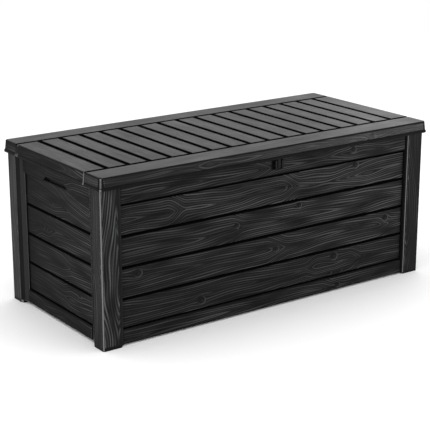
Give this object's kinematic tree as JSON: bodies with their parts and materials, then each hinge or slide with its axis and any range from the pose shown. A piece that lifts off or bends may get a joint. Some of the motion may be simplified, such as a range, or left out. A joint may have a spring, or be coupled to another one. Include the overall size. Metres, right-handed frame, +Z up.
{
  "type": "deck storage box",
  "caption": "Long dark grey resin deck storage box with wood-grain boards, corner posts, a slatted lid on rear hinges, gas struts and a padlock eye.",
  "frame": {"origin": "on the ground under the centre of the box", "axes": "+X along the length, to the right seen from the front; -Y towards the front, where the padlock eye is; +Z up"},
  "size_m": [1.55, 0.724, 0.644],
  "materials": {
    "resin": "moulded wood grain",
    "floor_resin": "plain moulded",
    "coated_steel": "black powder coat",
    "tube_steel": "zinc plated",
    "screw_steel": "zinc plated",
    "strut_black": "satin black",
    "rod_chrome": "polished"
  },
  "bodies": {
    "box": {"floor_panel": "floor_resin", "front_panel": "resin", "rear_panel": "resin", "left_side_panel": "resin", "right_side_panel": "resin", "front_left_post": "resin", "front_right_post": "resin", "rear_left_post": "resin", "rear_right_post": "resin", "lock_bracket": "resin", "hinge_base_left": "coated_steel", "hinge_base_centre": "coated_steel", "hinge_base_right": "coated_steel", "strut_wall_bracket_left": "coated_steel", "strut_wall_bracket_right": "coated_steel", "hinge_pin_left": "screw_steel", "hinge_pin_centre": "screw_steel", "hinge_pin_right": "screw_steel", "post_screws": "screw_steel", "hinge_screws": "screw_steel", "lock_screws": "screw_steel", "wall_bracket_screws": "screw_steel"},
    "lid": {"lid_shell": "resin", "lid_tube_front": "tube_steel", "lid_tube_rear": "tube_steel", "lid_tube_straps": "tube_steel", "strap_screws": "screw_steel", "lid_flange_screws": "screw_steel", "lid_bracket_screws": "screw_steel", "hinge_leaf_left": "coated_steel", "hinge_leaf_centre": "coated_steel", "hinge_leaf_right": "coated_steel", "lid_strut_bracket_left": "coated_steel", "lid_strut_bracket_right": "coated_steel", "lock_tongue": "resin"},
    "gas_cylinder_left": {"strut_cylinder_left": "strut_black", "strut_gland_left": "strut_black"},
    "gas_rod_left": {"strut_rod_left": "rod_chrome", "strut_end_left": "coated_steel"},
    "gas_cylinder_right": {"strut_cylinder_right": "strut_black", "strut_gland_right": "strut_black"},
    "gas_rod_right": {"strut_rod_right": "rod_chrome", "strut_end_right": "coated_steel"}
  },
  "joints": [
    {"name": "lid_hinge", "type": "hinge", "parent": "box", "child": "lid", "pos_m": [0, 0.352, 0.6], "axis": [-1, 0, 0], "range_deg": [0, 95]},
    {"name": "strut_tilt_left", "type": "hinge", "parent": "box", "child": "gas_cylinder_left", "pos_m": [-0.706, 0.03, 0.54], "axis": [1, 0, 0], "range_deg": [0, 7.5]},
    {"name": "strut_slide_left", "type": "slide", "parent": "gas_cylinder_left", "child": "gas_rod_left", "axis": [0, 0.9537, 0.3007], "range_m": [0, 0.1432]},
    {"name": "strut_tilt_right", "type": "hinge", "parent": "box", "child": "gas_cylinder_right", "pos_m": [0.706, 0.03, 0.54], "axis": [1, 0, 0], "range_deg": [0, 7.5]},
    {"name": "strut_slide_right", "type": "slide", "parent": "gas_cylinder_right", "child": "gas_rod_right", "axis": [0, 0.9537, 0.3007], "range_m": [0, 0.1432]}
  ],
  "couplings": [
    {"joint": "strut_tilt_left", "follows": "lid_hinge", "ratio": 0.0788},
    {"joint": "strut_slide_left", "follows": "lid_hinge", "m_per_rad": 0.0863},
    {"joint": "strut_tilt_right", "follows": "lid_hinge", "ratio": 0.0788},
    {"joint": "strut_slide_right", "follows": "lid_hinge", "m_per_rad": 0.0863}
  ]
}
